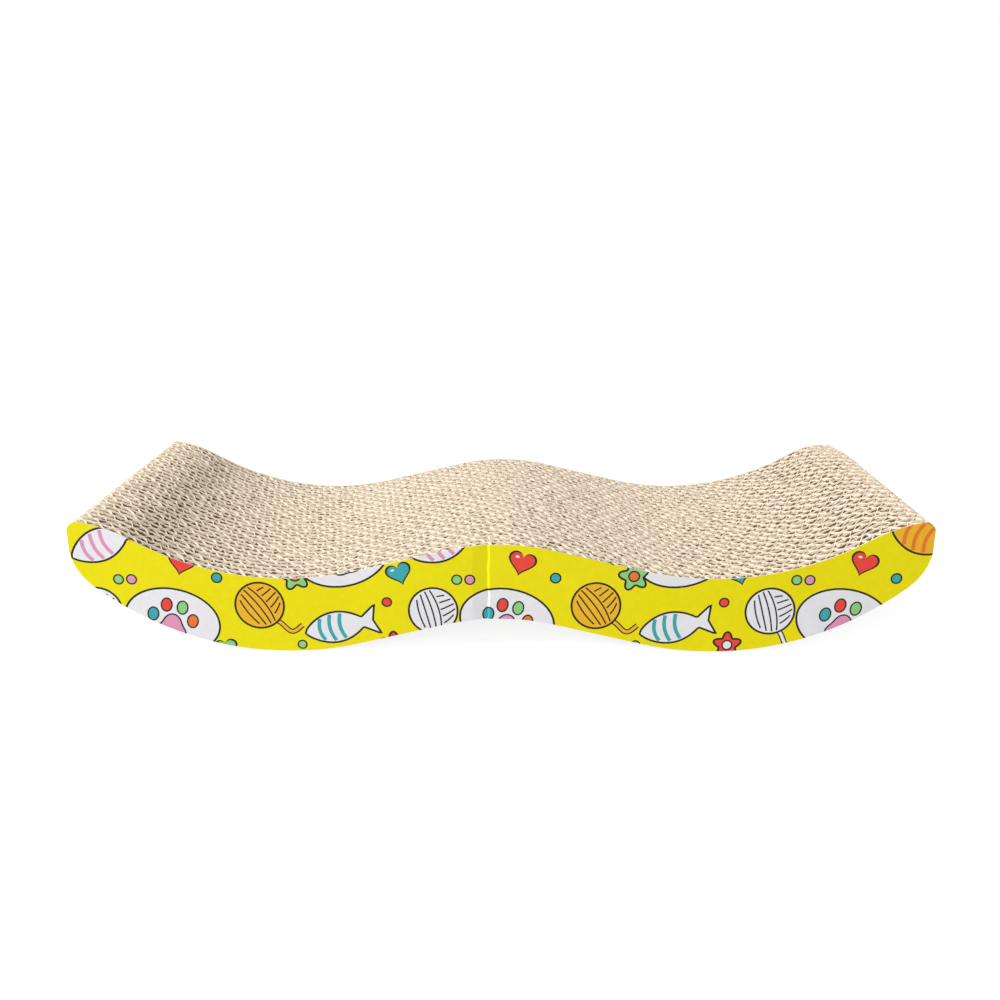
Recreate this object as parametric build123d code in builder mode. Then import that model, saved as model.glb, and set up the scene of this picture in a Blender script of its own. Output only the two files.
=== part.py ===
# Double-wave cat scratcher: wave-shaped strips of corrugated board stand on edge and are
# glued face to face from front to back, between two side boards that carry printed sheets.
# X runs along the length, Y from front to back and Z up from the floor.
import os
from math import cos, radians, sin

from build123d import *

# Driving dimensions of the stack, in millimetres
length = 460.0
width = 177.6
band_height = 42.6
core_strip_count = 16
sheet_thickness = 0.4

# The die-cut wave, in millimetres and degrees: a crest in the middle, a foot under each
# quarter point, and an end at each side that rises to a blunt tip
ramp_length = 49.7
crest_slope = 13.4
nose_slope = 30.2
nose_end_slope = 6.0
tip_slope = 39.9
tip_radius = 31.5
corner_radius = 6.0

# The crease pressed into the front sheet: a wide flank on the left and a narrow one on the right
crease_x = -6.5
crease_depth = 0.25
crease_left_width = 8.0
crease_right_width = 1.2

# Double-wall core strips hold two rows of flutes, and the single-wall side boards hold one
flute_row_count = 2 * core_strip_count + 2
flute_row = (width - 2 * sheet_thickness) / flute_row_count
side_board_thickness = flute_row
core_strip_thickness = 2 * flute_row
core_front_y = -core_strip_count * core_strip_thickness / 2
core_rear_y = core_front_y + core_strip_count * core_strip_thickness
side_front_y = core_front_y - side_board_thickness
side_rear_y = core_rear_y + side_board_thickness
sheet_front_y = side_front_y - sheet_thickness

# Radii and heights of the wave that follow from its slopes, each arc tangent to the next
foot_x = length / 4
foot_radius = (foot_x - tip_radius) / sin(radians(tip_slope)) + tip_radius
crest_run = foot_x - ramp_length * cos(radians(crest_slope))
crest_radius = crest_run / sin(radians(crest_slope)) - foot_radius
nose_run = foot_x - foot_radius * sin(radians(nose_slope))
nose_radius = nose_run / (sin(radians(nose_slope)) - sin(radians(nose_end_slope)))
arc_rise = (crest_radius + foot_radius) * (1 - cos(radians(crest_slope)))
crest_rise = arc_rise + ramp_length * sin(radians(crest_slope))

os.makedirs("parts", exist_ok=True)

# One die cuts every layer, so all of them share this side view
with BuildSketch() as wave_profile:
    with BuildLine():
        # Underside of the right half, from under the crest, round the foot and up to the tip
        under_crest = JernArc((0, crest_rise), (1, 0), crest_radius, -crest_slope)
        under_ramp = Line(under_crest @ 1, under_crest @ 1 + ramp_length * (under_crest % 1))
        under_foot = JernArc(under_ramp @ 1, under_ramp % 1, foot_radius, crest_slope + tip_slope)
        under_tip = JernArc(under_foot @ 1, under_foot % 1, tip_radius, 90 - tip_slope)
        # Top of the right half, from the crest, through the trough and out to the raised end
        top_crest = JernArc((0, crest_rise + band_height), (1, 0), crest_radius, -crest_slope)
        top_ramp = Line(top_crest @ 1, top_crest @ 1 + ramp_length * (top_crest % 1))
        top_trough = JernArc(top_ramp @ 1, top_ramp % 1, foot_radius, crest_slope + nose_slope)
        top_nose = JernArc(top_trough @ 1, top_trough % 1, nose_radius, nose_end_slope - nose_slope)
        blunt_end = Line(under_tip @ 1, top_nose @ 1)
        Line(under_crest @ 0, top_crest @ 0)
    make_face()
    # The corner above the blunt end is rounded, by no more than half of that end
    tip_corner = wave_profile.vertices().sort_by(Axis.Y)[-1]
    fillet(tip_corner, min(corner_radius, blunt_end.length / 2))
    mirror(about=Plane.YZ)

# Front printed sheet, with its crease running from the lower edge to the upper one
with BuildPart() as front_printed_sheet:
    with BuildSketch(Plane.XZ.offset(-side_front_y)):
        add(wave_profile.sketch)
    extrude(amount=sheet_thickness)
    sheet_top = front_printed_sheet.part.bounding_box().max.Z
    with BuildSketch(Plane.XY):
        with BuildLine():
            crease_left = (crease_x - crease_left_width, sheet_front_y)
            crease_bottom = (crease_x, sheet_front_y + crease_depth)
            crease_right = (crease_x + crease_right_width, sheet_front_y)
            Polyline(crease_left, crease_bottom, crease_right, close=True)
        make_face()
    extrude(amount=sheet_top, mode=Mode.SUBTRACT)
front_printed_sheet.part.label = "front_printed_sheet"
export_step(front_printed_sheet.part, "parts/front_printed_sheet.step")

# Front side board, single-wall, which the front sheet is laminated on
with BuildPart() as front_side_board:
    with BuildSketch(Plane.XZ.offset(-side_front_y)):
        add(wave_profile.sketch)
    extrude(amount=-side_board_thickness)
front_side_board.part.label = "front_side_board"
export_step(front_side_board.part, "parts/front_side_board.step")

# Double-wall core strips, numbered from the front
for number in range(1, core_strip_count + 1):
    strip_y = core_front_y + (number - 1) * core_strip_thickness
    with BuildPart() as core_strip:
        with BuildSketch(Plane.XZ.offset(-strip_y)):
            add(wave_profile.sketch)
        extrude(amount=-core_strip_thickness)
    core_strip.part.label = f"core_strip_{number:02d}"
    export_step(core_strip.part, f"parts/core_strip_{number:02d}.step")

# Rear side board, single-wall, which the rear sheet is laminated on
with BuildPart() as rear_side_board:
    with BuildSketch(Plane.XZ.offset(-core_rear_y)):
        add(wave_profile.sketch)
    extrude(amount=-side_board_thickness)
rear_side_board.part.label = "rear_side_board"
export_step(rear_side_board.part, "parts/rear_side_board.step")

# Rear printed sheet
with BuildPart() as rear_printed_sheet:
    with BuildSketch(Plane.XZ.offset(-side_rear_y)):
        add(wave_profile.sketch)
    extrude(amount=-sheet_thickness)
rear_printed_sheet.part.label = "rear_printed_sheet"
export_step(rear_printed_sheet.part, "parts/rear_printed_sheet.step")
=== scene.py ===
import math

import bpy
import numpy as np
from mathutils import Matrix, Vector
from mathutils.bvhtree import BVHTree
from mathutils.geometry import delaunay_2d_cdt


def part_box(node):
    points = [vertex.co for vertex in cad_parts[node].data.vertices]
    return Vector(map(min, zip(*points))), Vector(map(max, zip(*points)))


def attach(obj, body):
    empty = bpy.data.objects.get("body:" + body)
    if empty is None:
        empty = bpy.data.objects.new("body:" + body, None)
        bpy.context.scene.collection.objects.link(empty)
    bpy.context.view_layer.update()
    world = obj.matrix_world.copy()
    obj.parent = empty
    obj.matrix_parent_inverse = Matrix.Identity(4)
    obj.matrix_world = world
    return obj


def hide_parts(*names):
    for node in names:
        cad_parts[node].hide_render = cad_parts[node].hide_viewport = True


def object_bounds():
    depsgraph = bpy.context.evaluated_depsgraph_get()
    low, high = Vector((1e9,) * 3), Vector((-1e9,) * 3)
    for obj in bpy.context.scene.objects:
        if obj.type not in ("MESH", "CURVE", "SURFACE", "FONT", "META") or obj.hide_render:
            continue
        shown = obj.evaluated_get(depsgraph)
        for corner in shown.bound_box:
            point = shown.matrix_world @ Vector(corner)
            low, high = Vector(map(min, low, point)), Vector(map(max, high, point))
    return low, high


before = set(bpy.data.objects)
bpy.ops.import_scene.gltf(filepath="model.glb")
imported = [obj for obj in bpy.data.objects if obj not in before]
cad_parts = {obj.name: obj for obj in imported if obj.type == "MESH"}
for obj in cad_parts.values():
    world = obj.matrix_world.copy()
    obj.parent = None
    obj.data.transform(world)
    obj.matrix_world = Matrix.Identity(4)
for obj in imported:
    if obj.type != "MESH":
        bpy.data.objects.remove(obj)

cad_box = [list(corner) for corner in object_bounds()]

# Core strips: sixteen strips of double-wall corrugated board in pale kraft paper, die-cut to one
# wave and glued face to face on edge. Three flat liners hold two fluted sheets between them, and
# the flutes stand upright, so their cut ends make the scratching face.
mm = 0.001
core_strip_count = 16
core_seed = 100
liner_paper = 0.30 * mm
medium_paper = 0.44 * mm
glue_line = 0.03 * mm
flute_pitch = 8.3 * mm
row_shift = 0.40

# Steps along the papers, which are finer in a zone at each rounded end
steps_per_flute = 12
liner_step = 2.0 * mm
end_zone = 8.0 * mm
end_step = 0.4 * mm

# The papers stop just inside the solid. A shoulder lies inside each of their cut ends, and takes
# up no more than a share of the paper's height. Between the cut ends and the shoulders the walls
# go from pale paper to painted shade
end_inset = 0.3 * mm
cut_inset = 0.05 * mm
shoulder = 4.0 * mm
most_shoulder_share = 0.45

# The flutes at the two ends of the block lie open to view and are paler there, since the painted
# shade of the walls is left off
open_end = 6.0 * mm
open_fade = 10.0 * mm

# The rear right corner of the block has been knocked down
knock_depth = 2.9 * mm
knock_length = 18.0 * mm
knock_rows = 33.0 * mm

# The die-cut outline is read off the first strip's solid, once for each set of columns
die_low, die_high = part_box("core_strip_01")
die_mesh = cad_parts["core_strip_01"].data
die_points = [vertex.co.copy() for vertex in die_mesh.vertices]
die_faces = [list(polygon.vertices) for polygon in die_mesh.polygons]
die = BVHTree.FromPolygons(die_points, die_faces)
half_length = die_high.x - end_inset


def columns_along(step):
    """Places along the length, close together near the two rounded ends."""
    middle_end = half_length - end_zone
    middle_count = round(2 * middle_end / step)
    middle = np.linspace(-middle_end, middle_end, middle_count + 1)
    end_count = round(end_zone / min(step, end_step))
    end = np.linspace(middle_end, half_length, end_count + 1)[1:]
    return np.concatenate([-end[::-1], middle, end])


def die_cut(columns):
    """Lower and upper cut height at each column, from rays that start well outside the solid."""
    outside = 1.0
    down = Vector((0, 0, -1))
    middle_y = (die_low.y + die_high.y) / 2
    lower = []
    upper = []
    for x in columns:
        above = die.ray_cast(Vector((x, middle_y, die_high.z + outside)), down)[0]
        below = die.ray_cast(Vector((x, middle_y, die_low.z - outside)), -down)[0]
        upper.append(above.z)
        lower.append(below.z)
    return np.array(lower) + cut_inset, np.array(upper) - cut_inset


flute_columns = columns_along(flute_pitch / steps_per_flute)
flute_lower, flute_upper = die_cut(flute_columns)
liner_columns = columns_along(liner_step)
liner_lower, liner_upper = die_cut(liner_columns)


def slow_noise(columns, wavelength, rng):
    """A smooth wander along the length, between about -1 and 1."""
    wave_shares = (1.0, 0.61, 0.37)
    total = np.zeros(len(columns))
    for share in wave_shares:
        start = rng.uniform(0, 2 * math.pi)
        total += np.sin(2 * math.pi * columns / (wavelength * share) + start)
    return total / len(wave_shares)


def knocked_corner(columns, y):
    """How far the rear right corner has been knocked down, at places along a sheet."""
    along = np.clip((columns - half_length + knock_length) / knock_length, 0, 1)
    rear = cad_box[1][1]
    across = min(max((y - rear + knock_rows) / knock_rows, 0), 1)
    return knock_depth * across * np.sin(along * math.pi / 2)


def upright_paper(name, columns, lower, upper, sheet_y, drag, lean, thickness):
    """One upright sheet of paper: a grid whose rows are the cut ends and the shoulders inside
    them. The knife drags the ends along the sheet and leans them over."""
    inset = np.minimum(shoulder, most_shoulder_share * (upper - lower))
    rows = (lower, lower + inset, upper - inset, upper)
    at_cut = (1.0, 0.0, 0.0, 1.0)
    bpy.ops.object.select_all(action="DESELECT")
    bpy.ops.mesh.primitive_grid_add(
        x_subdivisions=len(columns) - 1, y_subdivisions=len(rows) - 1, size=1
    )
    sheet = bpy.context.object
    sheet.name = name
    points = []
    for height, share in zip(rows, at_cut):
        points.append(np.stack([columns + share * drag, sheet_y + share * lean, height], axis=1))
    sheet.data.vertices.foreach_set("co", np.concatenate(points).ravel())
    # The cut mark is one at the cut ends and none at the shoulders, and the wall paints shade
    # where it is low; the open mark lifts that painted shade near the two tips
    from_tip = half_length - np.abs(columns)
    near_tip = np.clip(1 - (from_tip - open_end) / open_fade, 0, 1)
    near_cut = np.repeat(at_cut, len(columns))
    for mark, values in (("cut", near_cut), ("open", np.tile(near_tip, len(rows)))):
        attribute = sheet.data.attributes.new(mark, "FLOAT", "POINT")
        attribute.data.foreach_set("value", values)
    sheet.data.update()
    sheet.data.materials.append(kraft_wall_painted_shade)
    sheet.data.materials.append(kraft_cut)
    wall = sheet.modifiers.new("paper", "SOLIDIFY")
    wall.thickness = thickness
    wall.offset = 0
    wall.material_offset_rim = 1
    bpy.ops.object.modifier_apply(modifier=wall.name)
    return sheet


def liner(name, y, rng, pressed=0.0):
    """A flat sheet that the flutes are glued to, dented a little at its cut ends."""
    ragged_depth = 0.20 * mm
    lean_reach = 0.30 * mm
    lean_length = 12.5 * mm
    ragged = rng.uniform(0, ragged_depth, len(liner_columns))
    sheet_y = np.full(len(liner_columns), y) + pressed
    still = np.zeros(len(liner_columns))
    clear_end = np.clip((half_length - np.abs(liner_columns)) / end_zone, 0, 1)
    lean = lean_reach * slow_noise(liner_columns, lean_length, rng) * clear_end
    upper = liner_upper - ragged - knocked_corner(liner_columns, y)
    return upright_paper(
        name, liner_columns, liner_lower, upper, sheet_y, still, lean, liner_paper
    )


def fluted_medium(name, front_y, rear_y, row, rng, pressed=0.0):
    """A fluted sheet between two liners, a little uneven as pressed paper is. The strips are cut
    one after another from a long board, so each row starts a little further on in its flutes."""
    wander_share = 0.10
    long_wander = 190 * mm
    short_wander = 23 * mm
    start_spread = 0.05
    press_share = 0.22
    press_length = 31 * mm
    drag_reach = 0.9 * mm
    drag_length = 17 * mm
    lean_reach = 0.40 * mm
    lean_length = 11 * mm
    ragged_depth = 0.5 * mm
    middle = (front_y + rear_y) / 2
    clear = (liner_paper + medium_paper) / 2
    reach = (rear_y - front_y) / 2 - clear
    wander = wander_share * slow_noise(flute_columns, long_wander, rng)
    wander += wander_share * slow_noise(flute_columns, short_wander, rng)
    start = rng.uniform(-start_spread, start_spread) - row * row_shift
    flutes = flute_columns / flute_pitch + start + wander
    press = 1 - press_share * np.abs(slow_noise(flute_columns, press_length, rng))
    wave_y = middle + reach * press * np.sin(2 * math.pi * flutes)
    wave_y = np.maximum(wave_y, front_y + clear + pressed)
    clear_end = np.clip((half_length - np.abs(flute_columns)) / end_zone, 0, 1)
    drag = drag_reach * slow_noise(flute_columns, drag_length, rng) * clear_end
    lean = lean_reach * slow_noise(flute_columns, lean_length, rng) * clear_end
    ragged = rng.uniform(0, ragged_depth, len(flute_columns))
    upper = flute_upper - ragged - knocked_corner(flute_columns, middle)
    return upright_paper(
        name, flute_columns, flute_lower, upper, wave_y, drag, lean, medium_paper
    )


def new_material(name):
    """A new material, with its node tree and its shader."""
    material = bpy.data.materials.new(name)
    material.use_nodes = True
    shader = material.node_tree.nodes["Principled BSDF"]
    return material, material.node_tree, shader


def linear(red, green, blue):
    """An sRGB colour, as read off a screen, in Blender's linear values."""
    parts = []
    for value in (red, green, blue):
        share = value / 255
        parts.append(share / 12.92 if share <= 0.04045 else ((share + 0.055) / 1.055) ** 2.4)
    return (*parts, 1.0)


def grey(level):
    """A grey, or white at a level of one, in linear values."""
    return (level, level, level, 1.0)


def colour_ramp(tree, source, stops):
    """A colour ramp on a value, from stops of place and colour."""
    ramp = tree.nodes.new("ShaderNodeValToRGB")
    elements = ramp.color_ramp.elements
    for element, (place, colour) in zip(elements, stops):
        element.position = place
        element.color = colour
    tree.links.new(source, ramp.inputs["Fac"])
    return ramp.outputs["Color"]


def paper_noise(tree, scale, detail, stretch=(1.0, 1.0, 1.0)):
    """Noise on the piece's own coordinates, which may be stretched along the paper's grain."""
    place = tree.nodes.new("ShaderNodeTexCoord")
    grain = tree.nodes.new("ShaderNodeMapping")
    grain.inputs["Scale"].default_value = stretch
    noise = tree.nodes.new("ShaderNodeTexNoise")
    noise.inputs["Scale"].default_value = scale
    noise.inputs["Detail"].default_value = detail
    tree.links.new(place.outputs["Object"], grain.inputs["Vector"])
    tree.links.new(grain.outputs["Vector"], noise.inputs["Vector"])
    return noise.outputs["Fac"]


def mesh_mark(tree, name):
    """A value or a colour that the mesh carries."""
    mark = tree.nodes.new("ShaderNodeAttribute")
    mark.attribute_name = name
    return mark


def mix_colours(tree, blend, fac, first, second):
    """Two colours mixed; each may be a socket or a fixed colour, and so may the share."""
    mix = tree.nodes.new("ShaderNodeMix")
    mix.data_type = "RGBA"
    mix.blend_type = blend
    for socket, value in ((mix.inputs[0], fac), (mix.inputs[6], first), (mix.inputs[7], second)):
        if isinstance(value, bpy.types.NodeSocket):
            tree.links.new(value, socket)
        else:
            socket.default_value = value
    return mix.outputs[2]


def paper_tooth(tree, shader, height, strength, depth):
    """Bump from a noise, for the tooth of the paper."""
    bump = tree.nodes.new("ShaderNodeBump")
    bump.inputs["Strength"].default_value = strength
    bump.inputs["Distance"].default_value = depth
    tree.links.new(height, bump.inputs["Height"])
    tree.links.new(bump.outputs["Normal"], shader.inputs["Normal"])


def kraft_material(name, dark, light, open_colour, cut_colour, fleck_strength):
    """Recycled kraft paper: fibres along the grain and dark flecks, palest where it was cut.
    Deeper below the cut ends the body colours show, and in the walls these are painted shade
    inside the flutes; in the open flutes at the two ends of the block a paler kraft colour shows
    instead."""
    pale_unevenness = 0.9
    pale_from = 1.12
    pale_to = 1.24
    material, tree, shader = new_material(name)
    fibres = paper_noise(tree, scale=900, detail=6, stretch=(1.0, 1.0, 0.35))
    patches = paper_noise(tree, scale=45, detail=3)
    flecks = paper_noise(tree, scale=2600, detail=2, stretch=(1.0, 1.0, 0.5))
    body = colour_ramp(tree, fibres, [(0.32, dark), (0.68, light)])
    tone = colour_ramp(tree, patches, [(0.3, (0.93, 0.92, 0.90, 1)), (0.7, grey(1))])
    body = mix_colours(tree, "MULTIPLY", 1.0, body, tone)
    spots = colour_ramp(tree, flecks, [(0.66, grey(1)), (0.78, (0.62, 0.50, 0.38, 1))])
    body = mix_colours(tree, "MULTIPLY", fleck_strength, body, spots)
    fuzz = colour_ramp(tree, fibres, [(0.3, (0.90, 0.89, 0.87, 1)), (0.65, grey(1))])
    # In the open flutes at the two ends of the block the painted shade gives way to a paler kraft
    # colour
    end_flutes = mesh_mark(tree, "open")
    open_walls = mix_colours(tree, "MULTIPLY", 1.0, open_colour, fuzz)
    body = mix_colours(tree, "MIX", end_flutes.outputs["Fac"], body, open_walls)
    # Near the cut ends the paper turns pale; deeper down the body colours stay, and in the walls
    # they are painted shade deep inside the flutes
    nearness = mesh_mark(tree, "cut")
    shade_edge_noise = paper_noise(tree, scale=330, detail=3, stretch=(1.0, 1.0, 0.4))
    uneven = tree.nodes.new("ShaderNodeMath")
    uneven.operation = "MULTIPLY_ADD"
    tree.links.new(shade_edge_noise, uneven.inputs[0])
    uneven.inputs[1].default_value = pale_unevenness
    tree.links.new(nearness.outputs["Fac"], uneven.inputs[2])
    pale = tree.nodes.new("ShaderNodeMapRange")
    pale.interpolation_type = "SMOOTHSTEP"
    pale.inputs["From Min"].default_value = pale_from
    pale.inputs["From Max"].default_value = pale_to
    tree.links.new(uneven.outputs[0], pale.inputs["Value"])
    ends = mix_colours(tree, "MULTIPLY", 1.0, cut_colour, fuzz)
    body = mix_colours(tree, "MIX", pale.outputs["Result"], body, ends)
    tree.links.new(body, shader.inputs["Base Color"])
    rough = colour_ramp(tree, fibres, [(0.2, grey(0.78)), (0.8, grey(0.96))])
    tree.links.new(rough, shader.inputs["Roughness"])
    shader.inputs["Specular IOR Level"].default_value = 0.2
    paper_tooth(tree, shader, fibres, strength=0.35, depth=0.2 * mm)
    return material


# The walls' dark and light colours are painted shade: the paper deep inside the flutes is painted
# dark brown, while the open colour and the cut colour are the paper's paler kraft
kraft_wall_painted_shade = kraft_material(
    "kraft_wall_painted_shade",
    dark=linear(106, 86, 62),
    light=linear(150, 125, 95),
    open_colour=linear(216, 196, 166),
    cut_colour=linear(242, 227, 206),
    fleck_strength=0.6,
)
kraft_cut = kraft_material(
    "kraft_cut",
    dark=linear(222, 204, 179),
    light=linear(244, 230, 210),
    open_colour=linear(234, 218, 195),
    cut_colour=linear(245, 232, 212),
    fleck_strength=0.4,
)


def liner_places(node):
    """Where a board's front and rear liners stand, and its middle between them."""
    low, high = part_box(node)
    front_y = low.y + glue_line + liner_paper / 2
    rear_y = high.y - glue_line - liner_paper / 2
    return front_y, (low.y + high.y) / 2, rear_y


def glued_board(name, sheets, node):
    """Joins the papers of one board and lets it stand for its solid."""
    smooth_below = math.radians(50)
    bpy.ops.object.select_all(action="DESELECT")
    for sheet in sheets:
        sheet.select_set(True)
    board = sheets[0]
    bpy.context.view_layer.objects.active = board
    bpy.ops.object.join()
    bpy.ops.object.shade_smooth_by_angle(angle=smooth_below)
    board.name = name
    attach(board, "root")
    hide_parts(node)


for number in range(1, core_strip_count + 1):
    node = f"core_strip_{number:02d}"
    rng = np.random.default_rng(core_seed + number)
    front_y, middle_y, rear_y = liner_places(node)
    sheets = [
        liner("front_liner", front_y, rng),
        fluted_medium("front_flutes", front_y, middle_y, 2 * number - 1, rng),
        liner("middle_liner", middle_y, rng),
        fluted_medium("rear_flutes", middle_y, rear_y, 2 * number, rng),
        liner("rear_liner", rear_y, rng),
    ]
    glued_board(f"fluted_strip_{number:02d}", sheets, node)

# Side boards: a strip of single-wall corrugated board at the front and one at the rear, of the
# same kraft paper and die-cut alike. They are glued to the outer core strips and carry the print;
# the front one has been folded once, which left a crease across it.
side_seed = 200
crease_x = -6.5 * mm
crease_left = 8.0 * mm
crease_right = 1.2 * mm
crease_depth = 0.8 * mm


def crease_dent(along):
    """How far the front board is pressed in beside the crease."""
    left = np.clip(1 + along / crease_left, 0, 1) * (along < 0)
    right = np.clip(1 - along / crease_right, 0, 1) * (along >= 0)
    return crease_depth * (left + right)


for side, row in (("front", 0), ("rear", 2 * core_strip_count + 1)):
    node = f"{side}_side_board"
    rng = np.random.default_rng(side_seed + row)
    front_y, _, rear_y = liner_places(node)
    folded = side == "front"
    liner_dent = folded * crease_dent(liner_columns - crease_x)
    flute_dent = folded * crease_dent(flute_columns - crease_x)
    sheets = [
        liner("front_liner", front_y, rng, liner_dent),
        fluted_medium("flutes", front_y, rear_y, row, rng, flute_dent),
        liner("rear_liner", rear_y, rng),
    ]
    glued_board(f"{side}_fluted_board", sheets, node)

# Printed sheets: white paper printed in flat bright inks with black outlines, laminated on the
# outer faces of the side boards and die-cut with them. The front one follows its board's crease.
sheet_low, sheet_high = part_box("front_printed_sheet")
sheet_thickness = sheet_high.y - sheet_low.y
inks = {
    "yellow": linear(236, 223, 8),
    "black": linear(30, 28, 30),
    "white": linear(233, 232, 238),
    "gold": linear(236, 182, 40),
    "teal": linear(62, 166, 172),
    "green": linear(138, 206, 128),
    "red": linear(232, 72, 62),
    "orange": linear(232, 120, 52),
    "pink": linear(222, 150, 186),
}

# The print is drawn in millimetres. Its motifs, with their lines, are then scaled to the sheet
outline = 0.95
thin_line = 0.7
motif_scale = 1.2
motif_reach = 40.0
print_repeat = 182.0


def ellipse(width, height, centre=(0.0, 0.0), count=36):
    """Points round an ellipse."""
    turns = np.linspace(0, 2 * math.pi, count, endpoint=False)
    u = centre[0] + width / 2 * np.cos(turns)
    v = centre[1] + height / 2 * np.sin(turns)
    return np.stack([u, v], axis=1)


def lobed(radius, lobes, depth, centre=(0.0, 0.0), count=60):
    """Points round a rounded shape with lobes, the first of them at the top."""
    turns = np.linspace(0, 2 * math.pi, count, endpoint=False)
    reach = radius * (1 + depth * np.cos(lobes * (turns - math.pi / 2)))
    u = centre[0] + reach * np.cos(turns)
    v = centre[1] + reach * np.sin(turns)
    return np.stack([u, v], axis=1)


def grown(points, distance):
    """A closed outline moved outwards by a distance."""
    ahead = np.roll(points, -1, axis=0) - np.roll(points, 1, axis=0)
    ahead /= np.linalg.norm(ahead, axis=1, keepdims=True)
    outward = np.stack([ahead[:, 1], -ahead[:, 0]], axis=1)
    return points + distance * outward


def ribbon(points, width):
    """A drawn line of even width along some points."""
    ahead = np.gradient(points, axis=0)
    ahead /= np.linalg.norm(ahead, axis=1, keepdims=True)
    aside = np.stack([-ahead[:, 1], ahead[:, 0]], axis=1) * width / 2
    return np.concatenate([points - aside, (points + aside)[::-1]])


def filled(points, ink, line=outline):
    """A shape in one ink with a black outline round it."""
    return [(grown(points, line / 2), "black"), (grown(points, -line / 2), ink)]


def paw_badge(pad_inks):
    """A white oval with a paw print on it."""
    shapes = filled(ellipse(43, 31, count=64), "white")
    shapes += filled(lobed(6.4, 3, 0.16, (0.0, -4.2)), pad_inks[0], thin_line)
    toes = ((-9.0, 1.6), (-3.6, 7.2), (3.6, 7.2), (9.0, 1.6))
    for toe, ink in zip(toes, pad_inks[1:]):
        shapes += filled(ellipse(4.8, 6.4, toe), ink, thin_line)
    return shapes


def yarn_ball(ink):
    """A ball of yarn with a loose end and two layers of windings, the upper one laid across."""
    radius = 11.0
    yarn_width = 2.6
    yarn_inside = 1.4
    along = np.linspace(0, 1, 30)
    loose_u = 4 + 15 * along
    loose_v = -9.5 + 2.2 * np.sin(7 * along) - 1.5 * along
    loose_end = np.stack([loose_u, loose_v], axis=1)
    shapes = [(ribbon(loose_end, yarn_width), "black"), (ribbon(loose_end, yarn_inside), ink)]
    shapes += filled(ellipse(2 * radius, 2 * radius, count=48), ink)
    sweep = np.linspace(-1, 1, 25)
    upper_turn = math.radians(35)
    under_turn = math.radians(-52)
    upper_layer = (upper_turn, (-7.6, -4.6, -1.6, 1.4), -radius)
    under_layer = (under_turn, (-7.4, -4.0, -0.6, 2.8, 6.2), 3.0)
    for turn, places, start in (upper_layer, under_layer):
        for place in places:
            half = math.sqrt(radius**2 - place**2) - outline
            across = place * (1 - 0.25 * sweep**2) + 1.2 * (1 - sweep**2)
            u = across * math.cos(turn) - half * sweep * math.sin(turn)
            v = across * math.sin(turn) + half * sweep * math.cos(turn)
            beside = u * math.cos(upper_turn) + v * math.sin(upper_turn)
            shown = (np.hypot(u, v) < radius - outline / 2) & (beside > start)
            shapes.append((ribbon(np.stack([u, v], axis=1)[shown], thin_line), "black"))
    return shapes


def fish_biscuit(ink, stripe_ink):
    """A plain fish-shaped biscuit with three stripes."""
    length = 34
    belly = 7.4
    belly_power = 0.7
    least_height = 0.3
    body_end = 0.84
    tail_start = 0.74
    tail_part = 0.26
    tail_root = 1.4
    tail_spread = 6.0
    stripe_bow = 1.4
    stripe_width = 1.7
    along = np.linspace(0, 1, 40)
    body = belly * np.sin(math.pi * np.clip(along / body_end, 0, 1)) ** belly_power
    tail = tail_root + tail_spread * np.clip((along - tail_start) / tail_part, 0, 1)
    thinnest = np.where(along < tail_start, least_height, tail)
    half_height = np.maximum(body, thinnest)
    u = -length / 2 + length * along
    lower = np.stack([u, -half_height], axis=1)
    upper = np.stack([u, half_height], axis=1)[::-1]
    notch = np.array([[14.6, 0.0]])
    shapes = filled(np.concatenate([lower, notch, upper[:-1]]), ink)
    sweep = np.linspace(-1, 1, 13)
    for place in (0.24, 0.38, 0.52):
        reach = belly * math.sin(math.pi * place / body_end) ** belly_power - outline
        bowed = -length / 2 + length * place - stripe_bow * (1 - sweep**2)
        stripe = np.stack([bowed, reach * sweep], axis=1)
        shapes.append((ribbon(stripe, stripe_width), stripe_ink))
    return shapes


def heart(ink, size):
    """A heart with a small shine."""
    turns = np.linspace(0, 2 * math.pi, 48, endpoint=False)
    u = 16 * np.sin(turns) ** 3
    v = 13 * np.cos(turns) - 5 * np.cos(2 * turns) - 2 * np.cos(3 * turns) - np.cos(4 * turns)
    points = np.stack([u, v], axis=1)[::-1] * size / 32
    shapes = [(points * (1 + outline / size), "black"), (points * (1 - outline / size), ink)]
    shine = ellipse(0.16 * size, 0.09 * size, (-0.22 * size, 0.17 * size), count=14)
    shapes.append((shine, "white"))
    return shapes


def flower(petal_ink, centre_ink, size):
    """A five-petalled flower."""
    shapes = filled(lobed(size / 2.5, 5, 0.24), petal_ink)
    shapes += filled(ellipse(0.34 * size, 0.34 * size, count=24), centre_ink, thin_line)
    return shapes


def dot(ink, size):
    """A small spot."""
    return filled(ellipse(size, size, count=22), ink, thin_line)


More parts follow.
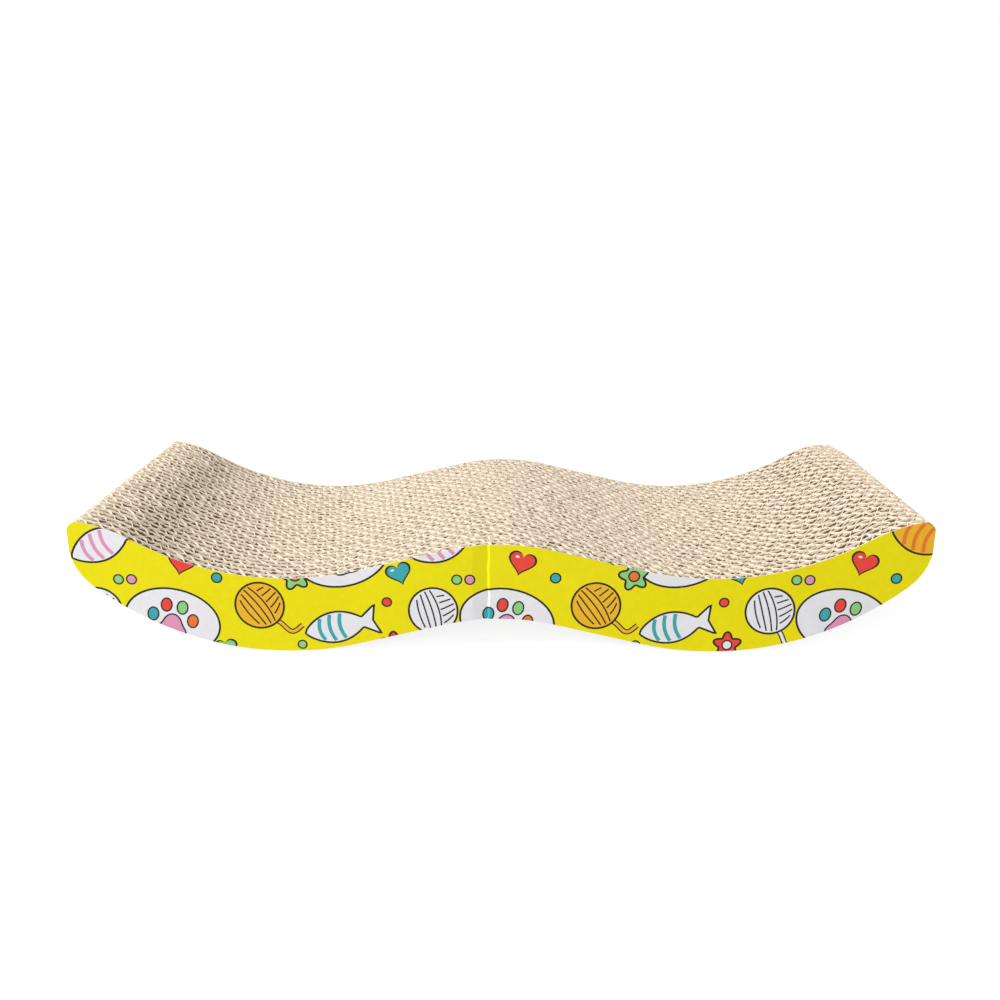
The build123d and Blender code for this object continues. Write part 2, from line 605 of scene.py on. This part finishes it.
# One repeat of the print: motif, place along and up the sheet in millimetres, turn in degrees
print_motifs = [
    (paw_badge(("pink", "teal", "red", "green", "orange")), 22, 18, -12),
    (paw_badge(("teal", "orange", "pink", "red", "green")), 116, 57, 16),
    (yarn_ball("gold"), 70, 27, 0),
    (yarn_ball("white"), 164, 24, -20),
    (fish_biscuit("white", "teal"), 114, 15, 12),
    (fish_biscuit("gold", "orange"), 62, 65, -18),
    (fish_biscuit("white", "pink"), 172, 63, 24),
    (heart("red", 12), 30, 52, -16),
    (heart("teal", 11), 146, 46, 18),
    (heart("green", 10), 50, 2, 8),
    (flower("green", "orange", 14), 90, 44, 10),
    (flower("red", "white", 13), 142, 4, 0),
    (flower("teal", "white", 13), 10, 76, 24),
    (dot("teal", 4.6), 48, 43, 0),
    (dot("green", 4.0), 92, 4, 0),
    (dot("red", 4.2), 139, 29, 0),
    (dot("orange", 4.0), 88, 74, 0),
    (dot("pink", 4.4), 2, 42, 0),
    (dot("green", 4.4), 177, 42, 0),
]


def print_shapes(phase):
    """Every shape of the print that reaches the sheet, in the order that the inks go down."""
    shapes = []
    half = half_length / mm
    for repeat in range(-2, 3):
        for motif, along, up, turn in print_motifs:
            centre = along + repeat * print_repeat + phase
            if abs(centre) > half + motif_reach:
                continue
            cosine = math.cos(math.radians(turn))
            sine = math.sin(math.radians(turn))
            spin = np.array([[cosine, sine], [-sine, cosine]])
            for points, ink in motif:
                shapes.append((motif_scale * points @ spin + (centre, up), ink))
    return shapes


def paper_ink_material():
    """Offset ink on coated paper: a faint mottle, a soft sheen and the tooth of the paper."""
    material, tree, shader = new_material("printed_ink")
    ink = mesh_mark(tree, "ink")
    mottle = paper_noise(tree, scale=260, detail=5)
    cloud = paper_noise(tree, scale=22, detail=2)
    tone = colour_ramp(tree, mottle, [(0.3, (0.95, 0.95, 0.94, 1)), (0.7, grey(1))])
    colour = mix_colours(tree, "MULTIPLY", 1.0, ink.outputs["Color"], tone)
    drift = colour_ramp(tree, cloud, [(0.3, (0.965, 0.96, 0.95, 1)), (0.7, grey(1))])
    colour = mix_colours(tree, "MULTIPLY", 1.0, colour, drift)
    tree.links.new(colour, shader.inputs["Base Color"])
    sheen = colour_ramp(tree, mottle, [(0.25, grey(0.40)), (0.75, grey(0.56))])
    tree.links.new(sheen, shader.inputs["Roughness"])
    shader.inputs["Specular IOR Level"].default_value = 0.2
    tooth = paper_noise(tree, scale=1500, detail=3)
    paper_tooth(tree, shader, tooth, strength=0.12, depth=0.1 * mm)
    return material


def paper_edge_material():
    """The cut edge of the sheet: bare white fibre with a trace of ink."""
    edge_dark = linear(224, 212, 176)
    edge_light = linear(243, 238, 224)
    material, tree, shader = new_material("sheet_edge")
    fibres = paper_noise(tree, scale=1800, detail=4)
    colour = colour_ramp(tree, fibres, [(0.3, edge_dark), (0.7, edge_light)])
    tree.links.new(colour, shader.inputs["Base Color"])
    rough = colour_ramp(tree, fibres, [(0.2, grey(0.8)), (0.8, grey(0.95))])
    tree.links.new(rough, shader.inputs["Roughness"])
    paper_tooth(tree, shader, fibres, strength=0.3, depth=0.1 * mm)
    return material


printed_ink = paper_ink_material()
sheet_edge = paper_edge_material()


def crease_line(up):
    """Where the crease runs, a little unsteadily, from the lower edge to the upper one."""
    slow_wobble = 0.22 * mm * math.sin(up / (4.1 * mm))
    quick_wobble = 0.15 * mm * math.sin(up / (1.7 * mm) + 1)
    return crease_x + slow_wobble + quick_wobble


def printed_sheet(name, node, phase, facing, crease):
    """A sheet cut along every line of the print, so that each face carries the ink laid there
    last. The crease adds lines of its own, along which the sheet bends."""
    crease_top = 90
    crease_step = 3
    left_lines = 7
    inside_outlines = 1
    nearest_points = 1e-5
    merged_within = 0.02 * mm
    sliver_under = 0.01 * mm
    low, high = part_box(node)
    outer_y = low.y if facing < 0 else high.y
    upper = liner_upper - knocked_corner(-facing * liner_columns, outer_y)
    top = np.stack([liner_columns, upper], axis=1)
    bottom = np.stack([liner_columns, liner_lower], axis=1)
    sheet_outline = np.concatenate([bottom, top[::-1]]) / mm
    shapes = [(sheet_outline, "yellow")] + print_shapes(phase)
    points = []
    faces = []
    for shape, _ in shapes:
        faces.append(list(range(len(points), len(points) + len(shape))))
        points.extend(Vector(point) for point in shape)
    edges = []
    if crease:
        offsets = np.linspace(-crease_left, 0, left_lines).tolist()
        offsets += [0.5 * crease_right, crease_right]
        for offset in offsets:
            first = len(points)
            for up in range(0, crease_top + 1, crease_step):
                points.append(Vector(((crease_line(up * mm) + offset) / mm, up)))
            edges.extend((number, number + 1) for number in range(first, len(points) - 1))
    cut_points, _, cut_faces, _, _, owners = delaunay_2d_cdt(
        points, edges, faces, inside_outlines, nearest_points
    )
    kept = [(face, max(owner)) for face, owner in zip(cut_faces, owners) if 0 in owner]
    place = []
    for point in cut_points:
        dent = 0.0
        if crease:
            dent = crease_dent(point.x * mm - crease_line(point.y * mm))
        place.append((-facing * point.x * mm, outer_y - facing * dent, point.y * mm))
    mesh = bpy.data.meshes.new(name)
    mesh.from_pydata(place, [], [face for face, owner in kept])
    colours = mesh.color_attributes.new("ink", "FLOAT_COLOR", "CORNER")
    corner_colours = []
    for face, owner in kept:
        corner_colours.extend(inks[shapes[owner][1]] * len(face))
    colours.data.foreach_set("color", corner_colours)
    sheet = bpy.data.objects.new(name, mesh)
    bpy.context.collection.objects.link(sheet)
    bpy.ops.object.select_all(action="DESELECT")
    sheet.select_set(True)
    bpy.context.view_layer.objects.active = sheet
    bpy.ops.object.mode_set(mode="EDIT")
    bpy.ops.mesh.select_all(action="SELECT")
    bpy.ops.mesh.remove_doubles(threshold=merged_within)
    bpy.ops.mesh.dissolve_degenerate(threshold=sliver_under)
    bpy.ops.mesh.delete_loose()
    bpy.ops.object.mode_set(mode="OBJECT")
    sheet.data.materials.append(printed_ink)
    sheet.data.materials.append(sheet_edge)
    thick = sheet.modifiers.new("paper", "SOLIDIFY")
    thick.thickness = sheet_thickness
    thick.offset = -1
    thick.material_offset_rim = 1
    bpy.ops.object.modifier_apply(modifier=thick.name)
    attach(sheet, "root")
    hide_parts(node)


printed_sheet("front_print", "front_printed_sheet", phase=-18.0, facing=-1, crease=True)
printed_sheet("rear_print", "rear_printed_sheet", phase=41.0, facing=1, crease=False)

# Studio: a plain white floor that runs out of sight, and an even white surround. A large soft
# lamp stands high on the left, with weaker ones in front, on the right and low behind.
floor_size = 12.0
floor_level = 0.36
fade_start = 0.5
fade_end = 2.2
glow_near = 0.86
glow_far = 0.98
surround_light = 0.15


def seen_rays(tree):
    """One for the rays that show the background, whether straight, mirrored or through glass,
    and none for the rays that only carry light."""
    path = tree.nodes.new("ShaderNodeLightPath")
    seen = path.outputs["Is Camera Ray"]
    for kind in ("Is Glossy Ray", "Is Transmission Ray"):
        either = tree.nodes.new("ShaderNodeMath")
        either.operation = "MAXIMUM"
        tree.links.new(seen, either.inputs[0])
        tree.links.new(path.outputs[kind], either.inputs[1])
        seen = either.outputs[0]
    return seen


bpy.ops.object.select_all(action="DESELECT")
bpy.ops.mesh.primitive_plane_add(size=floor_size, location=(0, 0, 0))
floor = bpy.context.object
floor.name = "floor"
floor_paint = bpy.data.materials.new("floor_paint")
floor_paint.use_nodes = True
tree = floor_paint.node_tree
tree.nodes.clear()
matt = tree.nodes.new("ShaderNodeBsdfDiffuse")
matt.inputs["Color"].default_value = grey(floor_level)
place = tree.nodes.new("ShaderNodeTexCoord")
away = tree.nodes.new("ShaderNodeVectorMath")
away.operation = "LENGTH"
tree.links.new(place.outputs["Object"], away.inputs[0])
white_out = tree.nodes.new("ShaderNodeMapRange")
white_out.inputs["From Min"].default_value = fade_start
white_out.inputs["From Max"].default_value = fade_end
white_out.inputs["To Min"].default_value = glow_near
white_out.inputs["To Max"].default_value = glow_far
tree.links.new(away.outputs["Value"], white_out.inputs["Value"])
share = tree.nodes.new("ShaderNodeMath")
share.operation = "MULTIPLY"
tree.links.new(seen_rays(tree), share.inputs[0])
tree.links.new(white_out.outputs["Result"], share.inputs[1])
glow = tree.nodes.new("ShaderNodeEmission")
tree.links.new(share.outputs[0], glow.inputs["Strength"])
both = tree.nodes.new("ShaderNodeAddShader")
tree.links.new(matt.outputs[0], both.inputs[0])
tree.links.new(glow.outputs[0], both.inputs[1])
surface = tree.nodes.new("ShaderNodeOutputMaterial")
tree.links.new(both.outputs[0], surface.inputs["Surface"])
floor.data.materials.append(floor_paint)

world = bpy.data.worlds.new("surround")
bpy.context.scene.world = world
world.use_nodes = True
tree = world.node_tree
tree.nodes.clear()
soft = tree.nodes.new("ShaderNodeBackground")
soft.inputs["Color"].default_value = grey(1)
soft.inputs["Strength"].default_value = surround_light
white = tree.nodes.new("ShaderNodeBackground")
white.inputs["Color"].default_value = grey(1)
white.inputs["Strength"].default_value = 1.0
both = tree.nodes.new("ShaderNodeMixShader")
tree.links.new(seen_rays(tree), both.inputs[0])
tree.links.new(soft.outputs[0], both.inputs[1])
tree.links.new(white.outputs[0], both.inputs[2])
sky = tree.nodes.new("ShaderNodeOutputWorld")
tree.links.new(both.outputs[0], sky.inputs["Surface"])


def soft_lamp(name, place, size, power):
    """A square soft lamp that points at the middle of the block."""
    aim = Vector((0, 0, 0.04))
    lamp = bpy.data.lights.new(name, "AREA")
    lamp.size = size
    lamp.energy = power
    holder = bpy.data.objects.new(name, lamp)
    bpy.context.collection.objects.link(holder)
    holder.location = place
    holder.rotation_euler = (aim - Vector(place)).to_track_quat("-Z", "Y").to_euler()


soft_lamp("key_lamp", place=(-2.3, -0.7, 1.55), size=1.0, power=98)
soft_lamp("fill_lamp", place=(-0.2, -1.6, 0.88), size=0.8, power=14.3)
soft_lamp("right_lamp", place=(1.8, -0.5, 0.9), size=1.0, power=8)
soft_lamp("rear_lamp", place=(-0.5, 1.7, 0.45), size=1.0, power=13)

# Camera: at the photograph's viewing angle, a little above the front and about 0.64 m from the
# middle of the block, with the lens that gives the photograph's perspective.
camera_data = bpy.data.cameras.new("camera")
camera_data.sensor_width = 36.0
camera_data.lens = 37.44
camera = bpy.data.objects.new("camera", camera_data)
bpy.context.collection.objects.link(camera)
camera.location = (0.00497, -0.60897, 0.24743)
camera.rotation_euler = (math.radians(72.838), math.radians(0.114), math.radians(0.480))
bpy.context.scene.camera = camera

bpy.context.scene.view_settings.view_transform = "Standard"
